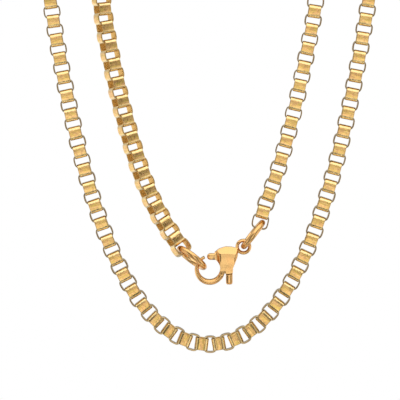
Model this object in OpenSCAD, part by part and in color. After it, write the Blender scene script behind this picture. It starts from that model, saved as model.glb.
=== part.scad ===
// Box chain necklace with a lobster clasp, hanging in two nested loops from
// two pegs. The long loop is the front of the necklace, and the short loop
// inside it carries the clasp. Millimetres, +Z up, +Y away from the viewer.
// The origin lies midway between the two pegs, on the line through them.

/* [Chain] */
// Length of one box link along the chain
link_l = 2.42; // [2.38:0.01:2.5]
// Width of the flat strip that a link is folded from
strip_w = 2.2; // [2.1:0.02:2.3]
// Thickness of the strip
strip_t = 0.26; // [0.24:0.01:0.28]
// Outside rounding of a link's four folds
fold_r = 0.42; // [0.36:0.01:0.44]
// Clear gap between two links along the chain
link_gap = 0.18; // [0.15:0.01:0.2]
// Clear gap between a link and the strip that passes through it, each side
side_gap = 0.17; // [0.17:0.01:0.22]
// Extra length of the two end links, which also take a jump ring
end_link_extra = 0.28; // [0.24:0.02:0.4]

/* [Hanging shape] */
// Height from the peg line down to the lowest point of the chain's middle line
loop_drop = 90.5; // [80:0.1:100]
// Radius of the chain's bend at that lowest point
bend_r = 11.14; // [10.6:0.02:12]
// Diameter of the round peg that each side can hang on
peg_d = 13; // [13:0.2:15]
// Clear gap between a peg and the chain
peg_gap = 0.2; // [0.1:0.02:0.4]
// Angle by which the short loop's strands wrap below the middle of a peg
wrap_angle = 9; // [4:1:14]
// Twist of the clasp side's left strand about its own line
strand_twist = 24; // [0:1:40]

/* [Jump rings] */
// Wire diameter of the two jump rings
ring_wire = 1.06; // [0.9:0.02:1.1]
// Outside diameter of the two jump rings
ring_od = 6.5; // [6.3:0.05:7]
// Clear gap between a jump ring and what it holds
ring_gap = 0.12; // [0.08:0.01:0.16]
// Turn of the left jump ring out of the line of sight
ring_turn = 13; // [12:1:24]
// Extra room between the left jump ring and the curve of the hook
seat_room = 0.14; // [0.12:0.01:0.3]
// Direction in which the left ring leaves the hook
left_ring_way = 142; // [138:1:146]
// Direction in which the right ring leaves the eye of the clasp
right_ring_way = 52; // [48:1:56]

/* [Clasp hook] */
// Sideways place of the hook's centre
clasp_x = 0.07; // [-1:0.01:1]
// Height of the hook's centre above the lowest point of the chain
clasp_rise = 13.54; // [12:0.02:16]
// Outside radius of the hook
hook_r = 2.74; // [2.6:0.02:3]
// Radius of the hole inside the hook
hook_hole_r = 1.94; // [1.8:0.02:2]
// Height of the hole's centre above the hook's centre, which thins the tip
hook_hole_rise = 0.26; // [0.1:0.02:0.4]
// Thickness of the hook from front to back
hook_t = 1.5; // [1.3:0.1:1.6]
// Direction of the hook's tip from its centre
tip_angle = 112; // [106:1:118]
// Direction from the hook's centre of the place where the left ring hangs
seat_angle = 156; // [150:1:164]

/* [Clasp body] */
// Width of the body
body_w = 4.26; // [4.1:0.02:4.6]
// Height of the body
body_h = 4.77; // [4.6:0.02:5.2]
// Thickness of the body from front to back
body_t = 3; // [2.8:0.1:3.6]
// Radius of the eye that the right jump ring holds
eye_r = 1.43; // [1.36:0.01:1.6]
// Diameter of the hole through the eye
eye_hole_d = 1.66; // [1.5:0.02:1.8]
// Thickness of the eye from front to back
eye_t = 1.3; // [1:0.1:1.5]
// Wall left in front of the pin
pin_cover = 0.4; // [0.3:0.05:0.5]

/* [Clasp lever] */
// Thickness of the lever from front to back
lever_t = 1.1; // [0.9:0.05:1.2]
// Height of the gate that closes the hook
gate_h = 1.2; // [1:0.02:1.3]
// Width of the thumb tab
tab_w = 1.2; // [1:0.02:1.3]
// Length of the thumb tab below the pin
tab_l = 4.1; // [3.8:0.05:4.4]
// Diameter of the pin that the lever turns on
pin_d = 0.6; // [0.5:0.02:0.7]
// Running clearance of the lever on its pin and between the body's cheeks
lever_gap = 0.1; // [0.06:0.01:0.14]
// Angle by which the lever opens
open_angle = 19; // [10:1:20]

/* [Hidden] */
$fn = 48;
gold = "goldenrod";
pale_gold = "khaki";
tiny = 0.01;
SPAN_STEPS = 10;
TWIST_SPANS = 4;

// Link sizes that follow from the strip
link_w = strip_w + 2 * strip_t + 2 * side_gap;
pitch = link_l - 2 * strip_t - link_gap;
end_link_l = link_l + end_link_extra;
end_pitch = pitch + end_link_extra;

// Jump ring sizes
ring_in = ring_od / 2 - ring_wire;
ring_mid = (ring_od - ring_wire) / 2;

// Places on the clasp, as [x, z] from the hook's centre
hook_at = [clasp_x, clasp_rise - loop_drop];
eye_from_hook = [body_w * 1.428, body_h * 0.878];
pin_from_hook = [body_w * 0.771, body_h * 0.303];
body_from_hook = [body_w * 0.2, -body_h * 0.114];
hole_from_hook = [-0.06, hook_hole_rise];
eye_at = hook_at + eye_from_hook;
pin_at = hook_at + pin_from_hook;
seat_at = hook_at + hole_from_hook + hook_hole_r * [cos(seat_angle), sin(seat_angle)];

// How far a jump ring's centre lies from what it holds, so that the flat
// piece inside it just clears the ring's inner side. An end link can lie at
// an angle to its ring, which takes a little more room.
function reach_inside(half_t) = sqrt(pow(ring_in - ring_gap, 2) - half_t * half_t);
RING_BEND = 26;
bend_room = (ring_wire / 2 + ring_gap) * (1 / cos(RING_BEND) - 1);
link_reach = reach_inside(strip_w / 2) - bend_room + link_gap / 2;
eye_reach = reach_inside(eye_t / 2) + eye_hole_d / 2;
seat_reach = reach_inside(hook_t / 2 / cos(ring_turn)) - seat_room;

// The two ends of the chain, where the jump rings reach its end links
function toward(a) = [cos(a), sin(a)];
right_end = eye_at + (eye_reach + link_reach) * toward(right_ring_way);
left_end = seat_at + (seat_reach + link_reach) * toward(left_ring_way);

// The short loop's chosen points from a peg down to its ring, as [x, height
// above the lowest point of the chain]
RIGHT_POINTS = [
    [18.5, 75.4], [19.5, 68.2], [19.2, 60.9], [17.6, 53], [15.7, 43.8],
    [13.3, 34.4], [11.3, 28.2], [9.8, 24.8]
];
LEFT_POINTS = [
    [-18.6, 75.4], [-19.7, 68.2], [-19.5, 60.9], [-18, 53], [-16.1, 43.8],
    [-13.5, 34.4], [-11.2, 27.8], [-9, 23.3], [-6.9, 20]
];

// The long loop hangs as a catenary: a point on it, by length from its bottom
function catenary(s) =
    [bend_r * ln(s / bend_r + sqrt(pow(s / bend_r, 2) + 1)),
     sqrt(bend_r * bend_r + s * s) - bend_r - loop_drop];

// Length of catenary from its bottom to where it meets the peg's circle
turn_r = peg_d / 2 + peg_gap + link_w / 2;
function meet(s, tries) =
    let (lean = atan2(bend_r, s))
    tries == 0 ? s : meet(s - catenary(s)[1] - turn_r * sin(lean), tries - 1);
side_len = meet(loop_drop, 12);
lean = atan2(bend_r, side_len);
peg_x = catenary(side_len)[0] - turn_r * cos(lean);

// A smooth curve of third degree near its control points
function blend(p, k, t) =
    (pow(1 - t, 3) * p[k]
    + (3 * pow(t, 3) - 6 * t * t + 4) * p[k + 1]
    + (-3 * pow(t, 3) + 3 * t * t + 3 * t + 1) * p[k + 2]
    + pow(t, 3) * p[k + 3]) / 6;
function curve(p, steps) = concat(
    [for (k = [0 : len(p) - 4], j = [0 : steps - 1]) blend(p, k, j / steps)],
    [blend(p, len(p) - 4, 1)]
);

// One strand of the short loop: from its peg to its ring, side is 1 or -1
function lift(points) = [for (p = points) [p[0], p[1] - loop_drop]];
function strand(side, points, end) =
    let (
        off = [side * (peg_x - turn_r * cos(wrap_angle)), -turn_r * sin(wrap_angle)],
        way = 7 * [side * sin(wrap_angle), -cos(wrap_angle)],
        low = lift(points),
        last = low[len(low) - 1]
    )
    curve(concat([off - way, off, off + way], low, [end, 2 * end - last]), SPAN_STEPS);
function peg_turn(side) =
    [for (a = [-lean + 4 : 4 : 180 + wrap_angle - 3])
        [side * (peg_x + turn_r * cos(a)), turn_r * sin(a)]];
function backwards(p) = [for (k = [len(p) - 1 : -1 : 0]) p[k]];

// The whole route, from the right ring over the right peg, down and round
// the long loop, over the left peg and down to the left ring
route = concat(
    backwards(strand(1, RIGHT_POINTS, right_end)),
    backwards(peg_turn(1)),
    [for (k = [-100 : 100]) let (p = catenary(-k * side_len / 100)) p],
    peg_turn(-1),
    strand(-1, LEFT_POINTS, left_end)
);
last_k = len(route) - 1;

// Links that fit from the start of the route to each of its points. A bend
// takes more links, because neighbours then touch at the strip's edge.
function running(v) =
    [for (k = 0, sum = 0; k <= len(v); sum = sum + (k < len(v) ? v[k] : 0), k = k + 1) sum];
function heading(k) =
    let (d = route[min(k + 1, last_k)] - route[min(k, last_k - 1)]) atan2(d[1], d[0]);
function fold_angle(a) = abs(a > 180 ? a - 360 : a < -180 ? a + 360 : a) * PI / 180;
function turned(k) = fold_angle(heading(k + 1) - heading(k));

// Twist of the chain at a point of the route: it builds up over the first
// spans below the left peg. A twisted bend touches at the strip's corners.
off_peg_k = last_k - SPAN_STEPS * (len(LEFT_POINTS) + 2);
function twist_at(k) =
    lookup(k, [[off_peg_k, 0], [off_peg_k + TWIST_SPANS * SPAN_STEPS, strand_twist]]);
function touch_half(k) = strip_w / 2 * (cos(twist_at(k)) + sin(twist_at(k)));
count_at = running([for (k = [0 : last_k - 1])
    (norm(route[k + 1] - route[k])
    + touch_half(k) * (turned(k) + turned(max(k - 1, 0))) / 2) / pitch]);
k_table = [for (k = [0 : last_k]) [count_at[k], k]];
x_table = [for (k = [0 : last_k]) [count_at[k], route[k][0]]];
z_table = [for (k = [0 : last_k]) [count_at[k], route[k][1]]];

// An odd number of links, so that both end links show their hole
end_share = end_pitch / pitch;
plain_count = count_at[last_k] - 2 * end_share;
n_links = 2 * ceil((plain_count + 1) / 2) + 1;
step = plain_count / (n_links - 2);

// Joints between links, counted from the right end of the chain
function joint_count(i) =
    i == 0 ? 0 : i == n_links ? count_at[last_k] : end_share + (i - 1) * step;
joints = [for (i = [0 : n_links])
    let (c = joint_count(i)) [lookup(c, x_table), lookup(c, z_table)]];

function twist(i) = twist_at(lookup(joint_count(i), k_table));

// The outline of one link: a box with four rounded folds, in 12 sides
function rounded_box(l, w, r) =
    [for (q = [0 : 3], a = [0, 45, 90])
        let (
            sx = (q == 0 || q == 3) ? 1 : -1,
            sy = q < 2 ? 1 : -1
        )
        [sx * (l / 2 - r) + r * cos(90 * q + a), sy * (w / 2 - r) + r * sin(90 * q + a)]];
module link(l) {
    outside = rounded_box(l, link_w, fold_r);
    inside = rounded_box(l - 2 * strip_t, link_w - 2 * strip_t, fold_r - strip_t);
    n = len(outside);
    linear_extrude(strip_w, center = true)
        polygon(concat(outside, inside), [[for (k = [0 : n - 1]) k], [for (k = [0 : n - 1]) n + k]]);
}

// Every second link shows its hole to the front, the end links included
module box_chain() {
    color(gold)
        for (i = [0 : n_links - 1]) {
            a = joints[i];
            b = joints[i + 1];
            mid = (a + b) / 2;
            is_end = i == 0 || i == n_links - 1;
            translate([mid[0], 0, mid[1]])
                rotate([(i % 2 == 0 ? 90 : 0) - twist(i), -atan2(b[1] - a[1], b[0] - a[0]), 0])
                    link(is_end ? end_link_l : link_l);
        }
}

// A closed ring around the line from one held piece to the other, turned by
// twist about that line
module jump_ring(from, to, reach, turn) {
    way = (to - from) / norm(to - from);
    at = from + way * reach;
    translate([at[0], 0, at[1]])
        rotate([turn, -atan2(way[1], way[0]), 0])
            rotate_extrude()
                translate([ring_mid, 0])
                    circle(d = ring_wire);
}
module jump_ring_right() {
    color(pale_gold) jump_ring(eye_at, joints[0], eye_reach, 0);
}
module jump_ring_left() {
    color(pale_gold) jump_ring(seat_at, joints[n_links], seat_reach, ring_turn);
}

// Outline of the clasp's body as shares of its width and height
BODY_OUTLINE = [
    [0, 0.6], [0, 0.78], [0.2, 0.92], [0.47, 1], [0.73, 0.99], [0.96, 0.93],
    [1, 0.68], [0.88, 0.4], [0.78, 0.18], [0.78, 0], [0.47, 0], [0.1, -0.1]
];
module flat(t) {
    rotate([90, 0, 0]) linear_extrude(t, center = true) children();
}
module at(place) {
    translate([place[0], 0, place[1]]) children();
}
module pie(from, to, r) {
    polygon(concat([[0, 0]], [for (a = [from : (to - from) / 6 : to + tiny]) r * [cos(a), sin(a)]]));
}
module hook_hole() {
    translate(hole_from_hook) circle(r = hook_hole_r);
}
module hook() {
    flat(hook_t)
        difference() {
            circle(r = hook_r);
            hook_hole();
            pie(12, tip_angle, 2 * hook_r);
        }
}
module body_shape() {
    difference() {
        translate(body_from_hook)
            polygon([for (p = BODY_OUTLINE) [p[0] * body_w, p[1] * body_h]]);
        hook_hole();
    }
}

// Hub, gate and tab of the lever, seen from the front. grow adds clearance.
gate_from_hook = [0.1, hook_hole_rise + hook_hole_r + 0.2];
hub_r = 0.7;
module lever_shape(grow) {
    gate_r = gate_h / 2 + grow;
    bend = [gate_from_hook[0] + 1.5, gate_from_hook[1]];
    translate(gate_from_hook) circle(r = gate_r);
    translate([gate_from_hook[0], gate_from_hook[1] - gate_r])
        square([bend[0] - gate_from_hook[0], 2 * gate_r]);
    polygon([
        bend + [0, gate_r], bend - [0, gate_r],
        pin_from_hook - [hub_r + grow, 0], pin_from_hook + [0, hub_r + grow]
    ]);
    translate(pin_from_hook) circle(r = hub_r + grow);
    translate([pin_from_hook[0] - tab_w / 2 + 0.24 - grow, pin_from_hook[1] - tab_l - grow])
        square([tab_w + 2 * grow, tab_l + grow]);
}
module turned_lever_shape(a, grow) {
    translate(pin_from_hook) rotate(a) translate(-pin_from_hook) lever_shape(grow);
}

// The slot between the cheeks holds the lever over its whole travel
module slot_shape() {
    for (a = [0 : 2 : open_angle + 3])
        turned_lever_shape(a, lever_gap);
}
module clasp_body() {
    color(gold)
        at(hook_at)
            difference() {
                union() {
                    hook();
                    flat(body_t) body_shape();
                    at(eye_from_hook) flat(eye_t) circle(r = eye_r);
                }
                flat(lever_t + 2 * lever_gap) slot_shape();
                at(eye_from_hook) flat(2 * body_t) circle(d = eye_hole_d);
                at(pin_from_hook)
                    translate([0, pin_cover - body_t / 2, 0])
                        rotate([-90, 0, 0]) cylinder(d = pin_d + lever_gap / 2, h = body_t);
            }
}
module clasp_lever() {
    color(pale_gold)
        at(hook_at)
            difference() {
                flat(lever_t) lever_shape(0);
                at(pin_from_hook) flat(2 * lever_t) circle(d = pin_d + lever_gap);
            }
}
module clasp_pin() {
    color("darkgoldenrod")
        at(pin_at)
            translate([0, pin_cover + lever_gap / 2 - body_t / 2, 0])
                rotate([-90, 0, 0])
                    cylinder(d = pin_d, h = body_t - pin_cover - lever_gap / 2);
}

box_chain();
jump_ring_left();
jump_ring_right();
clasp_body();
clasp_lever();
clasp_pin();
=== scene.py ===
import math

import bmesh
import bpy
import numpy as np
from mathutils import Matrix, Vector


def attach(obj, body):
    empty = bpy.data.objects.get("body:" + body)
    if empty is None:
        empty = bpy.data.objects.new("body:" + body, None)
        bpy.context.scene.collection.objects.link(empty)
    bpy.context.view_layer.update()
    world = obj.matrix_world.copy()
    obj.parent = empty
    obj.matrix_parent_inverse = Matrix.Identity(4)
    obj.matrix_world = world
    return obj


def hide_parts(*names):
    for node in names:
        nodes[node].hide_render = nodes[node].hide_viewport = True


# A gold box chain necklace with two jump rings and a lobster clasp. The scene is in metres, and
# shapes are worked out in millimetres: +X to the viewer's right, +Y away from the viewer, +Z up.
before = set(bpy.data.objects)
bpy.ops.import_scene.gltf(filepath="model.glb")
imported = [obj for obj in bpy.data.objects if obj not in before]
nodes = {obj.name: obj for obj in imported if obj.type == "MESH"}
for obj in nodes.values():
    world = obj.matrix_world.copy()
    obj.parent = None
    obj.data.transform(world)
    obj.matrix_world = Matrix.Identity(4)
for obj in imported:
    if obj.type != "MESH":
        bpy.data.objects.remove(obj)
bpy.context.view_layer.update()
scene = bpy.context.scene
MM = 0.001
# Seeded, so that every run turns the links alike
rng = np.random.default_rng(17)

# The camera faces the necklace from a little above, as the photograph does
VIEW_CENTRE = Vector((-1.697, 0, -64.33)) * MM
VIEW_WIDTH = 72.2 * MM
VIEW_RISE = math.radians(4)
LENS = 400
SENSOR = 36


def put_in_scene(name, data):
    piece = bpy.data.objects.new(name, data)
    scene.collection.objects.link(piece)
    return piece


def smoothstep(value, low, high):
    """Runs smoothly from 0 to 1 as the value goes from low to high."""
    share = np.clip((value - low) / (high - low), 0, 1)
    return share * share * (3 - 2 * share)


# Node trees
class Tree:
    """Short calls for building the node tree of a material or a world."""

    def __init__(self, owner):
        owner.use_nodes = True
        self.nodes = owner.node_tree.nodes
        self.links = owner.node_tree.links
        self.nodes.clear()

    def add(self, kind, inputs=(), **settings):
        """A new node, with each input set to its value, or linked where that is a socket."""
        node = self.nodes.new(kind)
        for key, value in settings.items():
            setattr(node, key, value)
        for key, value in dict(inputs).items():
            if isinstance(value, bpy.types.NodeSocket):
                self.links.new(value, node.inputs[key])
            else:
                node.inputs[key].default_value = value
        return node

    def attribute(self, name, output="Fac"):
        return self.add("ShaderNodeAttribute", attribute_name=name).outputs[output]

    def math(self, operation, *values):
        return self.add("ShaderNodeMath", dict(enumerate(values)), operation=operation).outputs[0]

    def total(self, *parts):
        """Sum of sockets, each times its weight."""
        shares = [self.math("MULTIPLY", value, weight) for value, weight in parts]
        result = shares[0]
        for share in shares[1:]:
            result = self.math("ADD", result, share)
        return result

    def smooth(self, value, low, high, to_low=0.0, to_high=1.0):
        """Runs smoothly from to_low to to_high as the value goes from low to high."""
        ends = {"From Min": low, "From Max": high, "To Min": to_low, "To Max": to_high}
        inputs = {"Value": value, **ends}
        return self.add("ShaderNodeMapRange", inputs, interpolation_type="SMOOTHSTEP").outputs[0]

    def ramp(self, value, stops):
        """Grey levels or colours by value. A stop is a place and a level, or a place and a colour."""
        node = self.add("ShaderNodeValToRGB", {"Fac": value})
        points = node.color_ramp.elements
        while len(points) < len(stops):
            points.new(0.5)
        for point, (place, shade) in zip(points, stops):
            point.position = place
            point.color = shade if isinstance(shade, tuple) else (shade, shade, shade, 1)
        return node.outputs["Color"]

    def mix(self, share, a, b):
        inputs = {0: share, 6: a, 7: b}
        return self.add("ShaderNodeMix", inputs, data_type="RGBA").outputs[2]

    def noise(self, vector, scale, detail, rough=0.5):
        inputs = {"Vector": vector, "Scale": scale, "Detail": detail, "Roughness": rough}
        return self.add("ShaderNodeTexNoise", inputs).outputs["Fac"]

    def stretch(self, vector, amounts):
        inputs = {0: vector, 1: amounts}
        return self.add("ShaderNodeVectorMath", inputs, operation="MULTIPLY").outputs[0]


# Studio
# What the gold reflects: a room with a belt of bright and dark walls, and a dome above them.
# The belt's levels by angle, where 0 is in front of the necklace and 90 to the viewer's right
BELT = [
    (-180, 0.5), (-167, 0.5), (-150, 0.88), (-112, 0.88), (-94, 0.8), (-62, 0.8), (-50, 0.3),
    (-40, 0.12), (-23, 0.12), (-14, 0.97), (13, 0.97), (21, 0.13), (36, 0.13), (42, 0.68),
    (56, 0.7), (72, 0.95), (92, 0.6), (112, 0.95), (145, 0.95), (165, 0.4), (180, 0.5),
]
# What the belt's levels are multiplied by, from -1 straight below to 1 straight above
BELT_BY_HEIGHT = [
    (-1, 1.35), (-0.9, 1.35), (-0.8, 0.45), (-0.64, 0.45), (-0.54, 1.3), (-0.18, 1.3), (-0.08, 1.0),
    (-0.02, 1.04), (0.04, 0.92), (0.12, 0.78), (0.34, 0.68), (0.62, 0.68), (0.7, 1.2),
]
# The dome's levels, from -1 straight in front to 1 straight behind
DOME_BY_DEPTH = [
    (-1, 1.4), (-0.9, 1.45), (0.1, 1.5), (0.34, 1.45), (0.46, 0.24), (0.92, 0.2), (1, 0.4),
]
# Height of the dome's edge, which comes down towards the front, and half the width of its blur
DOME_EDGE = 0.6
DOME_FRONT_HEIGHT = 1.21
DOME_FRONT_SLOPE = 0.9
DOME_BLUR = 0.04
# A ramp's colours run up to 1, so each level is held as a share of this one
TOP_LEVEL = 2.0
STUDIO_TINT = (1.0, 0.985, 0.96, 1)
WHITE = (1, 1, 1, 1)
# Name, place, side and power of each soft lamp
LAMPS = [
    ("softbox_top", (0.05, -0.25, 0.55), 0.35, 0.9),
    ("softbox_left", (-0.55, -0.1, 0.25), 0.3, 0.4),
]
LAMP_TINT = (1.0, 0.98, 0.94)
FLOOR_RADIUS = 1.1
FLOOR_HEIGHT = -0.25
PAPER_DARK = (0.86, 0.855, 0.845, 1)
PAPER_LIGHT = (0.9, 0.895, 0.885, 1)


def build_world():
    """The gold reflects the studio, and the camera sees plain white behind the necklace."""
    world = bpy.data.worlds.new("studio")
    scene.world = world
    tree = Tree(world)
    direction = tree.add("ShaderNodeTexCoord").outputs["Generated"]
    x, y, z = tree.add("ShaderNodeSeparateXYZ", {0: direction}).outputs

    def level_by(value, stops, reach=1.0):
        """Level by a value that runs from -reach to reach, as a share of the top level."""
        shares = [(0.5 + place * 0.5 / reach, level / TOP_LEVEL) for place, level in stops]
        return tree.ramp(tree.math("MULTIPLY_ADD", value, 0.5 / reach, 0.5), shares)

    turn = tree.math("ARCTAN2", x, tree.math("MULTIPLY", y, -1.0))
    belt = level_by(turn, [(math.radians(angle), level) for angle, level in BELT], math.pi)
    belt = tree.math("MULTIPLY", belt, level_by(z, BELT_BY_HEIGHT))
    belt = tree.math("MULTIPLY", belt, TOP_LEVEL)
    edge = tree.math("MULTIPLY_ADD", y, DOME_FRONT_SLOPE, DOME_FRONT_HEIGHT)
    edge = tree.math("MINIMUM", edge, DOME_EDGE)
    on_dome = tree.smooth(tree.math("SUBTRACT", z, edge), -DOME_BLUR, DOME_BLUR)
    level = tree.mix(on_dome, belt, level_by(y, DOME_BY_DEPTH))
    level = tree.math("MULTIPLY", level, TOP_LEVEL)
    studio = tree.add("ShaderNodeBackground", {"Color": STUDIO_TINT, "Strength": level})
    backdrop = tree.add("ShaderNodeBackground", {"Color": WHITE, "Strength": 1.0})
    seen = tree.add("ShaderNodeLightPath").outputs["Is Camera Ray"]
    both = tree.add("ShaderNodeMixShader", {0: seen, 1: studio.outputs[0], 2: backdrop.outputs[0]})
    tree.add("ShaderNodeOutputWorld", {0: both.outputs[0]})


def turn_to(way):
    """Rotation of a lamp or camera that looks this way."""
    return way.to_track_quat("-Z", "Y").to_euler()


def build_lights():
    for name, place, side, power in LAMPS:
        light = bpy.data.lights.new(name, "AREA")
        light.shape = "SQUARE"
        light.size = side
        light.energy = power
        light.color = LAMP_TINT
        lamp = put_in_scene(name, light)
        lamp.location = place
        lamp.rotation_euler = turn_to(VIEW_CENTRE - Vector(place))
        lamp.visible_camera = False
        lamp.visible_glossy = False


def build_camera():
    data = bpy.data.cameras.new("camera")
    data.lens = LENS
    data.sensor_width = SENSOR
    data.sensor_fit = "HORIZONTAL"
    data.clip_start = 0.01
    data.clip_end = 50
    camera = put_in_scene("camera", data)
    away = VIEW_WIDTH * LENS / SENSOR
    aim = Vector((0, -math.cos(VIEW_RISE), math.sin(VIEW_RISE)))
    camera.location = VIEW_CENTRE + aim * away
    camera.rotation_euler = turn_to(-aim)
    scene.camera = camera


def floor_paper():
    """Pale matt paper with a faint grain."""
    material = bpy.data.materials.new("floor_paper")
    tree = Tree(material)
    coords = tree.add("ShaderNodeTexCoord").outputs["Object"]
    grain = tree.noise(coords, scale=90.0, detail=4.0)
    colour = tree.ramp(grain, [(0.3, PAPER_DARK), (0.7, PAPER_LIGHT)])
    bump = tree.add("ShaderNodeBump", {"Height": grain, "Strength": 0.1, "Distance": 0.5 * MM})
    inputs = {"Base Color": colour, "Roughness": 0.7, "Normal": bump.outputs[0]}
    shader = tree.add("ShaderNodeBsdfPrincipled", inputs)
    tree.add("ShaderNodeOutputMaterial", {0: shader.outputs[0]})
    return material


def build_floor():
    mesh = bpy.data.meshes.new("floor")
    shape = bmesh.new()
    bmesh.ops.create_circle(shape, cap_ends=True, segments=96, radius=FLOOR_RADIUS)
    shape.to_mesh(mesh)
    shape.free()
    floor = put_in_scene("floor", mesh)
    floor.location = (0, 0, FLOOR_HEIGHT)
    mesh.materials.append(floor_paper())
    floor.visible_glossy = False


# Gold
GOLD = (0.89, 0.57, 0.17, 1)
RED_GOLD = (0.92, 0.52, 0.2, 1)
OLIVE_GOLD = (0.74, 0.54, 0.14, 1)
PALE_GOLD = (0.93, 0.66, 0.3, 1)
SHADE_AND_SEAM_BROWN = (0.19, 0.155, 0.105, 1)
ROSE_BROWN = (0.66, 0.36, 0.18, 1)
LINE_BROWN = (0.58, 0.36, 0.13, 1)
WORN_GOLD = (0.96, 0.76, 0.44, 1)
INNER_PAINTED_LIGHT = (0.99, 0.66, 0.22, 1)
CAST_GOLD = (0.85, 0.53, 0.21, 1)
BEND_GOLD = (0.96, 0.75, 0.38, 1)


def finish_gold(tree, colour, rough, height, strength, distance):
    bump = tree.add("ShaderNodeBump", {"Height": height, "Strength": strength, "Distance": distance})
    inputs = {"Base Color": colour, "Roughness": rough, "Metallic": 1.0, "Normal": bump.outputs[0]}
    shader = tree.add("ShaderNodeBsdfPrincipled", inputs)
    tree.add("ShaderNodeOutputMaterial", {0: shader.outputs[0]})


def chain_gold():
    """Rolled strip with lines and bands across it, blotches and a tone of its own for each link.
    Its folds are paler; on twisted links its inner faces are rougher and a brighter gold, painted
    light in their shaded cells; its cut edges are darkened brown as painted shade, with paler worn
    spots."""
    material = bpy.data.materials.new("chain_gold")
    tree = Tree(material)
    strip = tree.attribute("strip", "Vector")
    tone, edge, bend, inner = (tree.attribute(name) for name in ("tone", "edge", "bend", "inner"))
    patches = tree.noise(tree.stretch(strip, (0.8, 0.5, 1.0)), scale=1.6, detail=2.0)
    blotches = tree.noise(tree.stretch(strip, (1.0, 1.2, 1.0)), scale=1.9, detail=2.0)
    bands = tree.noise(tree.stretch(strip, (4.5, 0.55, 1.0)), scale=1.0, detail=2.0)
    lines = tree.noise(tree.stretch(strip, (13.0, 0.5, 1.0)), scale=1.0, detail=4.0, rough=0.6)
    scuffs = tree.noise(tree.stretch(strip, (6.0, 5.0, 1.0)), scale=2.0, detail=5.0, rough=0.65)
    colour = tree.mix(tree.smooth(patches, 0.38, 0.62), GOLD, RED_GOLD)
    # Each tint's pattern, the two values that it runs between, the tint's share at both, and the tint
    tints = (
        (tone, 0.0, 1.0, 0.0, 0.3, PALE_GOLD),
        (bands, 0.48, 0.6, 0.0, 0.85, OLIVE_GOLD),
        (bands, 0.34, 0.46, 0.8, 0.0, PALE_GOLD),
        (blotches, 0.5, 0.62, 0.0, 0.6, ROSE_BROWN),
        (lines, 0.48, 0.64, 0.0, 0.5, LINE_BROWN),
    )
    for pattern, low, high, low_share, high_share, tint in tints:
        share = tree.smooth(pattern, low, high, low_share, high_share)
        colour = tree.mix(share, colour, tint)
    colour = tree.mix(tree.math("MULTIPLY", bend, 0.85), colour, BEND_GOLD)
    # Painted light: brighter gold on the inner faces of twisted links, whose cells lie in shade
    colour = tree.mix(inner, colour, INNER_PAINTED_LIGHT)
    worn = tree.math("MULTIPLY", edge, tree.smooth(scuffs, 0.5, 0.7))
    # Painted shade: the cut edges are darkened brown
    colour = tree.mix(tree.math("MULTIPLY", edge, 0.8), colour, SHADE_AND_SEAM_BROWN)
    colour = tree.mix(tree.math("MULTIPLY", worn, 0.4), colour, WORN_GOLD)
    rough = tree.smooth(scuffs, 0.3, 0.75, 0.08, 0.24)
    rough = tree.math("ADD", rough, tree.math("MULTIPLY", inner, 0.4))
    height = tree.total((lines, 0.5), (scuffs, 0.2), (bands, 0.8), (blotches, 1.4))
    finish_gold(tree, colour, rough, height, strength=0.35, distance=0.09 * MM)
    return material


def cast_gold(name, scratch_scale):
    """Polished cast gold: faint clouds, fine scratches and paler worn edges. Its hollows are darkened
    brown as painted shade, as are the painted shadows given to it; on the rings that darkening marks
    the closing seam.
    """
    material = bpy.data.materials.new(name)
    tree = Tree(material)
    coords = tree.stretch(tree.add("ShaderNodeTexCoord").outputs["Object"], (1 / MM,) * 3)
    edge, shade_and_seam = (tree.attribute(name) for name in ("edge", "shade_and_seam"))
    clouds = tree.noise(coords, scale=0.55, detail=3.0)
    ripple = tree.noise(coords, scale=1.6, detail=2.0)
    lengthwise = tree.stretch(coords, (9.0, 9.0, 1.2))
    scratch = tree.noise(lengthwise, scratch_scale, detail=5.0, rough=0.65)
    colour = tree.mix(tree.smooth(clouds, 0.35, 0.65), CAST_GOLD, RED_GOLD)
    # Painted shade in the clasp's hollows and painted shadows by the hook's tip and the gate's root;
    # on the rings, the dark closing seam
    colour = tree.mix(tree.math("MULTIPLY", shade_and_seam, 0.75), colour, SHADE_AND_SEAM_BROWN)
    colour = tree.mix(tree.math("MULTIPLY", edge, 0.4), colour, WORN_GOLD)
    rough = tree.smooth(scratch, 0.3, 0.75, 0.18, 0.36)
    height = tree.total((ripple, 0.8), (scratch, 0.06))
    finish_gold(tree, colour, rough, height, strength=0.4, distance=0.08 * MM)
    return material


# Meshes
# Corners of a CAD node are one where they agree when this many steps are counted to a millimetre
WELD_STEPS = 1e4


def vectors_of(items, name):
    """One vector of each of a mesh's items, such as its place, as rows."""
    values = np.empty(len(items) * 3)
    items.foreach_get(name, values)
    return values.reshape(-1, 3)


def new_mesh(name, points, faces):
    mesh = bpy.data.meshes.new(name)
    mesh.from_pydata(np.asarray(points).tolist(), [], faces)
    mesh.update()
    return mesh


def shade_smooth(mesh):
    mesh.polygons.foreach_set("use_smooth", np.ones(len(mesh.polygons), bool))


def float_attribute(mesh, name, values):
    layer = mesh.attributes.new(name, "FLOAT", "POINT")
    layer.data.foreach_set("value", np.asarray(values, np.float32).ravel())


def merged_mesh(node):
    """Unique corners and triangles of a CAD node, in millimetres."""
    mesh = node.data
    corners = vectors_of(mesh.vertices, "co") / MM
    mesh.calc_loop_triangles()
    triangles = np.empty(len(mesh.loop_triangles) * 3, np.int64)
    mesh.loop_triangles.foreach_get("vertices", triangles)
    steps = np.round(corners * WELD_STEPS).astype(np.int64)
    _, first, same = np.unique(steps, axis=0, return_index=True, return_inverse=True)
    return corners[first], same.ravel()[triangles].reshape(-1, 3)


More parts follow.
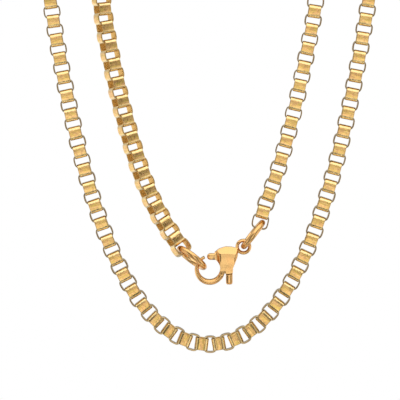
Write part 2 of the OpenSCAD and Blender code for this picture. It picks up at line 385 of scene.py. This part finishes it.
def solids_of(points, triangles):
    """The corners of each loose solid, as a list of arrays."""
    label = np.arange(len(points))
    while True:
        lowest = label[triangles].min(axis=1)
        fresh = label.copy()
        np.minimum.at(fresh, triangles.ravel(), np.repeat(lowest, 3))
        fresh = fresh[fresh]
        if np.array_equal(fresh, label):
            break
        label = fresh
    return [points[label == k] for k in np.unique(label)]


def own_axes(points):
    """A solid's middle, and its axes and lengths from the longest to the shortest."""
    centred = points - points.mean(axis=0)
    _, axes = np.linalg.eigh(centred.T @ centred)
    along = points @ axes
    low, high = along.min(axis=0), along.max(axis=0)
    order = np.argsort(low - high)
    return axes @ ((high + low) / 2), axes[:, order].T, (high - low)[order]


# Chain
# Thickness of the strip, a hair less than the solid's
STRIP_T = 0.25
# Half the angle that a link's walls bulge through, and half that of the bars that join them
WALL_CROWN = math.radians(8)
BAR_CROWN = math.radians(2)
# Outside radius of a link's folds, the steps that each takes, and the rounding of the cut edges
FOLD_R = 0.8
FOLD_STEPS = 5
EDGE_R = 0.11
# How far the normals of the strip's faces lean towards its cut edges, which softens their shading
FACE_LEAN = math.radians(2)
# Only the two end links are longer than this
LONGEST_INNER_LINK = 2.6
# Of the two ways along its strip's width, a link takes the one nearer to this, in x and y
FIRST_SIDE = np.array([0.2, -1.0])
RIGHT = np.array([1.0, 0.0, 0.0])
# Chance turn of a link about each of its axes, and the turn about the x axis of links higher up,
# in degrees, with the height where that turn starts and how far above it the turn is full
CHANCE_TURN = 0.7
TOP_TURN = -1.8
TURN_FROM = -88
TURN_OVER = 60
# A link shows its cut edges to the viewer where the way along its strip's width has more depth
# than the first value. Down to the second it is twisted, and shows the inside of its cell
EDGE_ON = 0.97
TWISTED = 0.2
# How dark the painted shade on the shown cut edges is at the loop's bottom and above it, and how dark
# it is on the others
EDGE_SHADE_LOW = 0.6
EDGE_SHADE = 1.0
EDGE_SHADE_HIDDEN = 0.35
LOW_HEIGHTS = (-88, -80)
# Shares of the strip's thickness between which its inner side begins, and how pale that side is
INNER_FROM = (0.4, 0.7)
INNER_PALE = 0.6
# How far the outward direction lies along the chain where a fold's paler gold starts and is full
FOLD_FROM = (0.15, 0.5)
# Shift of the pattern from one link to the next
LINK_SHIFT = 7.3


def link_path(width, length):
    """The strip's outer side round a link, as rows of place and outward direction, across and
    along the chain, and how far each row lies along the strip."""
    matrix = np.array([
        [1 - math.cos(WALL_CROWN), math.sin(BAR_CROWN)],
        [math.sin(WALL_CROWN), 1 - math.cos(BAR_CROWN)],
    ])
    wanted = np.array([
        width / 2 - FOLD_R * (math.cos(WALL_CROWN) - math.sin(BAR_CROWN)),
        length / 2 - FOLD_R * (math.cos(BAR_CROWN) - math.sin(WALL_CROWN)),
    ])
    wall_r, bar_r = np.linalg.solve(matrix, wanted)
    fold_end = math.pi / 2 - BAR_CROWN
    arcs = (
        (0, WALL_CROWN, wall_r), (WALL_CROWN, fold_end, FOLD_R), (fold_end, math.pi / 2, bar_r),
    )

    def place_at(angle):
        across, along = width / 2, 0.0
        for start, end, radius in arcs:
            to = min(angle, end)
            if to > start:
                across += radius * (math.cos(to) - math.cos(start))
                along += radius * (math.sin(to) - math.sin(start))
        return across, along

    fold = fold_end - WALL_CROWN
    rising = [WALL_CROWN / 3, WALL_CROWN]
    rising += [WALL_CROWN + fold * k / FOLD_STEPS for k in range(1, FOLD_STEPS + 1)]
    falling = [math.pi / 2] + rising[::-1]
    quarters = ((rising, 1, 1), (falling, -1, 1), (rising, -1, -1), (falling, 1, -1))
    rows = []
    for angles, across_sign, along_sign in quarters:
        for angle in angles:
            across, along = place_at(angle)
            rows.append((
                across_sign * across, along_sign * along,
                across_sign * math.cos(angle), along_sign * math.sin(angle),
            ))
    rows = np.array(rows)
    steps = np.linalg.norm(np.roll(rows[:, :2], -1, axis=0) - rows[:, :2], axis=1)
    return rows, np.concatenate([[0], np.cumsum(steps)])


def link_section(strip_width):
    """The strip's section as rows of place and normal, out from the link and across the strip,
    and 1 on the cut edges."""
    outer, inner, side = -EDGE_R, EDGE_R - STRIP_T, strip_width / 2 - EDGE_R
    corners = ((outer, side, 0), (inner, side, 90), (inner, -side, 180), (outer, -side, 270))
    rows = []
    for out, across, start in corners:
        for turn in (0, 45, 90):
            angle = normal = math.radians(start + turn)
            on_face = (start + turn) % 180 == 0
            if on_face:
                normal += FACE_LEAN if turn == 0 else -FACE_LEAN
            rows.append((
                out + EDGE_R * math.cos(angle), across + EDGE_R * math.sin(angle),
                math.cos(normal), math.sin(normal), 0.0 if on_face else 1.0,
            ))
    return np.array(rows)


def in_order(links):
    """Links from the chain's left end to its right end."""
    middles = np.array([middle for middle, _, _ in links])
    ends = [k for k, (_, _, size) in enumerate(links) if size[1] > LONGEST_INNER_LINK]
    now = min(ends, key=lambda k: middles[k][0])
    left = set(range(len(links)))
    order = []
    while left:
        order.append(now)
        left.remove(now)
        if left:
            rest = np.array(sorted(left))
            away = np.linalg.norm(middles[rest] - middles[now], axis=1)
            now = int(rest[np.argmin(away)])
    return [links[k] for k in order]


def turn_about(axis, angle, vector):
    cosine, sine = math.cos(angle), math.sin(angle)
    along = axis * np.dot(axis, vector)
    return vector * cosine + np.cross(axis, vector) * sine + along * (1 - cosine)


def link_directions(axes, way, height):
    """A link's directions: its width, its length along the chain, and its strip's width."""
    _, long, across = axes
    if np.dot(long, way) < 0:
        long = -long
    if np.dot(across[:2], FIRST_SIDE) < 0:
        across = -across
    wide = np.cross(long, across)
    turns = [(axis, rng.normal(0, CHANCE_TURN)) for axis in (long, across, wide)]
    turns.append((RIGHT, TOP_TURN * min(1, max(0, (height - TURN_FROM) / TURN_OVER))))
    for axis, angle in turns:
        wide, long, across = (
            turn_about(axis, math.radians(angle), vector) for vector in (wide, long, across)
        )
    return wide, long, across


def link_skin(middle, directions, path, section):
    """Places and normals of a link's points: its section carried along its path."""
    wide, long, across = directions
    out = path[:, None, 2:4]
    flat = path[:, None, :2] + out * section[None, :, 0:1]
    place = (
        middle + flat[..., 0:1] * wide + flat[..., 1:2] * long
        + section[None, :, 1:2] * across
    )
    normal = (
        (out[..., 0:1] * wide + out[..., 1:2] * long) * section[None, :, 2:3]
        + section[None, :, 3:4] * across
    )
    return place.reshape(-1, 3), normal.reshape(-1, 3)


def link_layers(depth, height, path, section):
    """What the material reads at each of a link's points."""
    rows, ring = len(path), len(section)
    tone = rng.random()
    # Painted shade on the cut edges: strongest where they face the viewer and above the loop's bottom
    dark = EDGE_SHADE_HIDDEN
    if depth > EDGE_ON:
        above = smoothstep(height, *LOW_HEIGHTS)
        dark = EDGE_SHADE_LOW + (EDGE_SHADE - EDGE_SHADE_LOW) * above
    fold = smoothstep(np.abs(path[:, 3]), *FOLD_FROM)[:, None]
    start, end = INNER_FROM
    inside = smoothstep(-section[:, 0], start * STRIP_T, end * STRIP_T)[None, :]
    return {
        "tone": np.full(rows * ring, tone),
        "edge": np.tile(section[:, 4] * dark, rows),
        "bend": np.maximum(fold, INNER_PALE * inside).ravel(),
        # inner: painted light in the cells of twisted links, which also makes them rougher
        "inner": np.tile(inside.ravel() * (TWISTED < depth < EDGE_ON), rows),
    }


def link_faces(path, run, section, shift):
    """A link's quads, and the place on its strip of each quad's corners."""
    rows, ring = len(path), len(section)
    i, j = np.meshgrid(np.arange(rows), np.arange(ring), indexing="ij")
    i2, j2 = (i + 1) % rows, (j + 1) % ring
    quads = np.stack([i * ring + j, i2 * ring + j, i2 * ring + j2, i * ring + j2], -1)
    along = np.stack([run[i], run[i + 1], run[i + 1], run[i]], -1)
    corners = np.stack([j, j, j2, j2], -1)
    strip = np.stack([along, section[corners, 1], section[corners, 0] + shift], -1)
    return quads.reshape(-1, 4), strip.reshape(-1, 3)


def build_chain():
    points, triangles = merged_mesh(nodes["box_chain"])
    links = in_order([own_axes(solid) for solid in solids_of(points, triangles)])
    middles = np.array([middle for middle, _, _ in links])
    places, normals, quads, strips = [], [], [], []
    layers = {"tone": [], "edge": [], "bend": [], "inner": []}
    start = 0
    for k, (middle, axes, size) in enumerate(links):
        way = middles[min(k + 1, len(links) - 1)] - middles[max(k - 1, 0)]
        directions = link_directions(axes, way, middle[2])
        path, run = link_path(size[0], size[1])
        section = link_section(size[2])
        place, normal = link_skin(middle, directions, path, section)
        depth = abs(directions[2][1])
        for name, values in link_layers(depth, middle[2], path, section).items():
            layers[name].append(values)
        faces, strip = link_faces(path, run, section, k * LINK_SHIFT)
        places.append(place)
        normals.append(normal)
        quads.append(start + faces)
        strips.append(strip)
        start += len(place)
    mesh = new_mesh("box_chain_links", np.concatenate(places) * MM, np.concatenate(quads).tolist())
    layer = mesh.attributes.new("strip", "FLOAT_VECTOR", "CORNER")
    layer.data.foreach_set("vector", np.concatenate(strips).astype(np.float32).ravel())
    for name, values in layers.items():
        float_attribute(mesh, name, np.concatenate(values))
    shade_smooth(mesh)
    turned = np.concatenate(normals)
    turned /= np.linalg.norm(turned, axis=1)[:, None]
    mesh.normals_split_custom_set_from_vertices(turned.tolist())
    mesh.materials.append(chain_gold())
    piece = put_in_scene("box_chain_links", mesh)
    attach(piece, "necklace")
    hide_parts("box_chain")


# Rings
RING_STEPS = 144
WIRE_STEPS = 24
# Thickness of the wire, as a share of the solid's
WIRE_SHARE = 0.994
# Slight waves in that thickness round the ring: height, count and start
WAVES = ((0.004, 3, 1.1), (0.003, 7, 0.0))
# The groove where a ring was closed: how deep it is, how far it reaches to each side, and the
# depth at which it is darkest
SEAM_DEPTH = 0.05
SEAM_REACH = 0.05
SEAM_DARK_DEPTH = 0.04
# How worn the wire is where the chain and the clasp rub it, on the ring's inner side
RING_WEAR = 0.8
LEFT_SEAM = math.radians(100)
RIGHT_SEAM = math.radians(215)


def build_ring(name, seam_angle, material):
    points, _ = merged_mesh(nodes[name])
    middle, axes, size = own_axes(points)
    wire_r = size[2] / 2
    reach = (size[0] - size[2]) / 2
    across = axes[2] if axes[2][1] < 0 else -axes[2]
    right = np.cross(across, [0.0, 0.0, 1.0])
    right /= np.linalg.norm(right)
    up = np.cross(right, across)
    places, quads, edges, hollows = [], [], [], []
    for i in range(RING_STEPS):
        turn = 2 * math.pi * i / RING_STEPS
        from_seam = abs((turn - seam_angle + math.pi) % (2 * math.pi) - math.pi) * reach
        groove = SEAM_DEPTH * math.exp(-((from_seam / SEAM_REACH) ** 2))
        out = math.cos(turn) * right + math.sin(turn) * up
        waves = 1 + sum(high * math.sin(count * turn + start) for high, count, start in WAVES)
        radius = wire_r * (WIRE_SHARE - groove / wire_r) * waves
        after = (i + 1) % RING_STEPS
        for j in range(WIRE_STEPS):
            roll = 2 * math.pi * j / WIRE_STEPS
            from_middle = reach + radius * math.cos(roll)
            places.append(middle + out * from_middle + across * radius * math.sin(roll))
            edges.append(max(0.0, -math.cos(roll)) ** 2 * RING_WEAR)
            hollows.append(min(1.0, groove / SEAM_DARK_DEPTH))
            j2 = (j + 1) % WIRE_STEPS
            row, next_row = i * WIRE_STEPS, after * WIRE_STEPS
            quads.append((row + j, next_row + j, next_row + j2, row + j2))
    mesh = new_mesh(name + "_wire", np.array(places) * MM, quads)
    float_attribute(mesh, "edge", edges)
    float_attribute(mesh, "shade_and_seam", hollows)
    shade_smooth(mesh)
    mesh.materials.append(material)
    piece = put_in_scene(name + "_wire", mesh)
    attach(piece, "necklace")
    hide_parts(name)


# Clasp, whose places are [x, z]
HOOK_AT = np.array([0.07, -76.96])
HOOK_R = 2.74
HOOK_HALF_T = 0.75
HOLE_AT = HOOK_AT + [0, 0.26]
HOLE_R = 1.94
HOOK_TIP_AT = HOOK_AT + [-0.8, 2.45]
EYE_AT = HOOK_AT + [6.083, 4.188]
EYE_R = 1.43
EYE_HOLE_R = 0.83
EYE_HALF_T = 0.62
PIN_AT = HOOK_AT + [3.284, 1.445]

# The body's half thickness in its middle, at its foot, and the least that it has at its sides and
# at its top edge
BODY_HALF_T = 1.5
FOOT_HALF_T = 0.96
SIDE_HALF_T = 0.85
TOP_HALF_T = 0.5
FOOT_HEIGHTS = (-78.1, -74.7)
TOP_HEIGHTS = (-74.2, -73.4)
# The line above which the body's face slopes back: its highest place, its bow and the slope
TOP_LINE_AT = (3.0, -73.95)
TOP_LINE_BOW = 0.05
TOP_SLOPE = 0.82
# The lines outside which the sides slope back, gently over the first width and then steeply too
LEFT_LINE = ((2.4, -77.6), (2.06, -74.0))
RIGHT_LINE = ((4.8, -73.9), (3.84, -77.2))
GENTLE_SLOPE = 0.35
GENTLE_WIDTH = 0.34
STEEP_SLOPE = 1.0
# The rounded corner towards the eye
SHOULDER_AT = (4.35, -74.1)
SHOULDER_R = 0.4
SHOULDER_SLOPE = 1.1
# The hook's wire: the least width that it is rounded over, and how round its section is
LEAST_WIRE = 0.3
WIRE_ROUNDNESS = 0.96
# The eye's wire: the share of its width that it is rounded over, the least of that rounding, and
# the x between which the eye's form begins
EYE_WIDTH = 1.08
EYE_LEAST = 0.04
EYE_FROM = (5.0, 5.35)
# Where the hook passes into the body: x and z between which each part of the body begins, the
# last of them at every height
BODY_FROM = (
    ((1.0, 1.9), (-78.1, -77.1)),
    ((0.3, 0.6), (-76.6, -76.0)),
    ((2.1, 2.95), (-81, -80)),
)

# The body's foot: its lowest height, the radius about the pin that it keeps to, where that starts
# beside the hook, how far up it is felt, and how far below the foot the hook begins
FOOT_END = -77.504
FOOT_REACH = 2.13
FOOT_FROM = (2.7, 2.9)
FOOT_BLEND = 0.5
FOOT_MARGIN = 0.05

# Voxel sizes, how far a point is drawn to its neighbours' middle each time, and how strongly a
# sharp place shows as a worn edge
BODY_VOXEL = 0.06
LEVER_VOXEL = 0.05
EASE_SHARE = 0.5
SHARP_SCALE = 9


def remeshed(node, voxel):
    """A copy of a CAD node in even small quads, as points and faces in millimetres."""
    points, triangles = merged_mesh(node)
    mesh = new_mesh("remesh", points, triangles.tolist())
    helper = put_in_scene("remesh", mesh)
    modifier = helper.modifiers.new("voxels", "REMESH")
    modifier.mode = "VOXEL"
    modifier.voxel_size = voxel
    done = helper.evaluated_get(bpy.context.evaluated_depsgraph_get()).to_mesh()
    places = vectors_of(done.vertices, "co")
    faces = [tuple(polygon.vertices) for polygon in done.polygons]
    helper.to_mesh_clear()
    bpy.data.objects.remove(helper)
    bpy.data.meshes.remove(mesh)
    return places, faces


def edge_pairs(faces):
    pairs = set()
    for face in faces:
        for a, b in zip(face, face[1:] + face[:1]):
            pairs.add((min(a, b), max(a, b)))
    return np.array(sorted(pairs))


def eased(points, pairs, times):
    """Points drawn towards their neighbours, which rounds corners."""
    counts = np.bincount(pairs.ravel(), minlength=len(points))[:, None]
    for _ in range(times):
        total = np.zeros_like(points)
        np.add.at(total, pairs[:, 0], points[pairs[:, 1]])
        np.add.at(total, pairs[:, 1], points[pairs[:, 0]])
        points = points + EASE_SHARE * (total / counts - points)
    return points


def distance(x, z, place):
    return np.hypot(x - place[0], z - place[1])


def side_of(x, z, start, end):
    """Distance to the left of the line from start to end."""
    way = np.array(end) - np.array(start)
    way = way / np.linalg.norm(way)
    return (x - start[0]) * -way[1] + (z - start[1]) * way[0]


def flank_half_depth(x, z, line):
    into = side_of(x, z, *line)
    gentle = GENTLE_SLOPE * np.maximum(0, into)
    steep = STEEP_SLOPE * np.maximum(0, into - GENTLE_WIDTH)
    return BODY_HALF_T - gentle - steep


def body_half_depth(x, z):
    """Half the body's depth: flat, with a top, sides and a corner that slope back and a thinner
    foot."""
    top_line = TOP_LINE_AT[1] - TOP_LINE_BOW * (x - TOP_LINE_AT[0]) ** 2
    top = BODY_HALF_T - TOP_SLOPE * np.maximum(0, z - top_line)
    left = flank_half_depth(x, z, LEFT_LINE)
    right = flank_half_depth(x, z, RIGHT_LINE)
    foot = FOOT_HALF_T + (BODY_HALF_T - FOOT_HALF_T) * smoothstep(z, *FOOT_HEIGHTS)
    past = np.hypot(np.maximum(0, x - SHOULDER_AT[0]), np.maximum(0, z - SHOULDER_AT[1]))
    shoulder = BODY_HALF_T - SHOULDER_SLOPE * np.maximum(0, past - SHOULDER_R)
    body = np.minimum.reduce([top, shoulder, left, right, foot])
    least = SIDE_HALF_T - (SIDE_HALF_T - TOP_HALF_T) * smoothstep(z, *TOP_HEIGHTS)
    return np.maximum(body, least)


def hook_half_depth(x, z):
    """Half the depth of the hook's round wire, which lies between its hole and its outside."""
    inner = distance(x, z, HOLE_AT) - HOLE_R
    outer = HOOK_R - distance(x, z, HOOK_AT)
    across = np.clip((inner - outer) / np.maximum(inner + outer, LEAST_WIRE), -1, 1)
    return HOOK_HALF_T * np.sqrt(np.maximum(0.0, 1 - across**2 * WIRE_ROUNDNESS))


def eye_half_depth(x, z):
    middle, half_wire = (EYE_R + EYE_HOLE_R) / 2, (EYE_R - EYE_HOLE_R) / 2
    across = (distance(x, z, EYE_AT) - middle) / (half_wire * EYE_WIDTH)
    return EYE_HALF_T * np.sqrt(np.maximum(EYE_LEAST, 1 - across**2))


def clasp_half_depth(x, z):
    """How far the clasp's skin may stand in front of its middle plane."""
    in_body = 0.0
    for x_range, z_range in BODY_FROM:
        part = smoothstep(x, *x_range) * smoothstep(z, *z_range)
        in_body = np.maximum(in_body, part)
    on_eye = smoothstep(x, *EYE_FROM)
    body = body_half_depth(x, z) * in_body * (1 - on_eye)
    return body + hook_half_depth(x, z) * (1 - in_body) + eye_half_depth(x, z) * on_eye


def round_foot(points):
    """Rounds the body's foot about the pin, so that the thumb tab swings close below it."""
    x, z = points[:, 0], points[:, 2]
    arc = PIN_AT[1] - np.sqrt(np.maximum(0, FOOT_REACH**2 - (x - PIN_AT[0]) ** 2))
    low = smoothstep(z, FOOT_END + FOOT_BLEND, FOOT_END) * (z > FOOT_END - FOOT_MARGIN)
    share = low * smoothstep(x, *FOOT_FROM)
    return points + np.outer(share * np.minimum(0, arc - FOOT_END), [0, 0, 1])


def near(points, place, reach):
    """1 at a place in the clasp's plane, falling to 0 at its reach."""
    return 1 - smoothstep(distance(points[:, 0], points[:, 2], place), reach / 3, reach)


def sharpness(points, pairs, faces):
    """Positive on outer edges, negative in hollows."""
    mesh = new_mesh("probe", points, faces)
    normals = vectors_of(mesh.vertices, "normal")
    bpy.data.meshes.remove(mesh)
    drawn = eased(points, pairs, times=3) - points
    sharp = -(drawn * normals).sum(axis=1)
    return eased(sharp[:, None], pairs, times=2).ravel()


def cast_piece(name, points, faces, sharp, painted_shadow, material):
    mesh = new_mesh(name, points * MM, faces)
    float_attribute(mesh, "edge", np.clip(sharp * SHARP_SCALE, 0, 1))
    # Painted shade in hollows, joined with the painted shadows passed in
    shade_and_seam = np.maximum(np.clip(-sharp * SHARP_SCALE, 0, 1), painted_shadow)
    float_attribute(mesh, "shade_and_seam", shade_and_seam)
    shade_smooth(mesh)
    mesh.materials.append(material)
    return put_in_scene(name, mesh)


def build_clasp_body(material):
    points, faces = remeshed(nodes["clasp_body"], BODY_VOXEL)
    pairs = edge_pairs(faces)
    points = eased(round_foot(points), pairs, times=2)
    depth = clasp_half_depth(points[:, 0], points[:, 2])
    points[:, 1] = np.clip(points[:, 1], -depth, depth)
    sharp = sharpness(points, pairs, faces)
    points = eased(points, pairs, times=4)
    # Painted shadow on the dark end of the hook's tip
    painted_shadow = near(points, HOOK_TIP_AT, reach=0.45)
    piece = cast_piece("clasp_body_cast", points, faces, sharp, painted_shadow, material)
    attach(piece, "necklace")
    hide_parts("clasp_body")


# Lever
# The gate: the end of its middle line, half its height, half its depth, the share of its height
# that it is rounded over, the least of its rounding, the x between which it begins and the height
# that it stays above
GATE_AT = HOOK_AT + [0.1, 2.4]
GATE_R = 0.6
GATE_HALF_T = 0.55
GATE_WIDTH = 1.04
GATE_LEAST = 0.02
GATE_FROM = (1.9, 1.5)
GATE_LOW = -75.4
# Where a shadow is painted at the root of the gate, beside the body
GATE_FOOT_AT = HOOK_AT + [0.95, 2.05]
# The thumb tab: its middle, half its width and its end, how far from the pin it begins, what it
# swells over there, and how far below the pin it stays
TAB_X = 3.594
TAB_HALF_W = 0.6
TAB_END = -79.615
TAB_REACH = 2.22
TAB_BLEND = 0.06
TAB_DROP = 1.2
# How much thicker than the solid it is, what it loses towards its end, and the fall of its crown
TAB_SWELL = 1.85
TAB_TAPER = 0.15
TAB_CROWN = 0.16
# The length of its rounded tip, and the share of its width left at the very end
TIP_LENGTH = 0.5
TIP_SHARE = 0.45


def gate_rounded(x, y, z):
    from_axis = distance(np.minimum(x, GATE_AT[0]), z, GATE_AT) / (GATE_R * GATE_WIDTH)
    half_depth = GATE_HALF_T * np.sqrt(np.maximum(GATE_LEAST, 1 - from_axis**4))
    on_gate = smoothstep(x, *GATE_FROM) * (z > GATE_LOW)
    return np.clip(y, -half_depth, half_depth) * on_gate + y * (1 - on_gate)


def tab_swollen(x, y, z):
    from_pin = distance(x, z, PIN_AT)
    below = z < PIN_AT[1] - TAB_DROP
    on_tab = smoothstep(from_pin, TAB_REACH, TAB_REACH + TAB_BLEND) * below
    down = np.clip((from_pin - TAB_REACH) / (PIN_AT[1] - TAB_END - TAB_REACH), 0, 1)
    crown = 1 - TAB_CROWN * np.clip(np.abs(x - TAB_X) / TAB_HALF_W, 0, 1) ** 2
    return y * (1 + on_tab * ((TAB_SWELL - TAB_TAPER * down**2) * crown - 1))


def shape_lever(points):
    """Rounds the gate into a bar, and gives the thumb tab a fuller, crowned form with a round tip
    below the body."""
    x, y, z = points.T
    y = gate_rounded(x, y, z)
    y = tab_swollen(x, y, z)
    up = np.clip((z - TAB_END) / TIP_LENGTH, 0, 1)
    pinch = TIP_SHARE + (1 - TIP_SHARE) * np.sqrt(np.maximum(0, 1 - (1 - up) ** 2))
    on_tip = z < TAB_END + TIP_LENGTH
    x = np.where(on_tip, TAB_X + (x - TAB_X) * pinch, x)
    y = np.where(on_tip, y * pinch, y)
    return np.stack([x, y, z], axis=1)


def build_clasp_lever(material):
    points, faces = remeshed(nodes["clasp_lever"], LEVER_VOXEL)
    pairs = edge_pairs(faces)
    points = shape_lever(points)
    sharp = sharpness(points, pairs, faces)
    points = eased(points, pairs, times=5)
    # Painted shadow at the gate's root, beside the body
    painted_shadow = near(points, GATE_FOOT_AT, reach=0.6)
    piece = cast_piece("clasp_lever_cast", points, faces, sharp, painted_shadow, material)
    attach(piece, "lever")
    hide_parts("clasp_lever")


def finish_pin(material):
    pin = nodes["clasp_pin"]
    pin.data.materials.clear()
    pin.data.materials.append(material)


build_world()
build_lights()
build_camera()
build_floor()
build_chain()
ring_material = cast_gold("ring_gold", scratch_scale=1.3)
build_ring("jump_ring_left", LEFT_SEAM, ring_material)
build_ring("jump_ring_right", RIGHT_SEAM, ring_material)
clasp_material = cast_gold("clasp_gold", scratch_scale=1.0)
build_clasp_body(clasp_material)
build_clasp_lever(clasp_material)
finish_pin(clasp_material)

scene.view_settings.view_transform = "Standard"
scene.view_settings.look = "None"
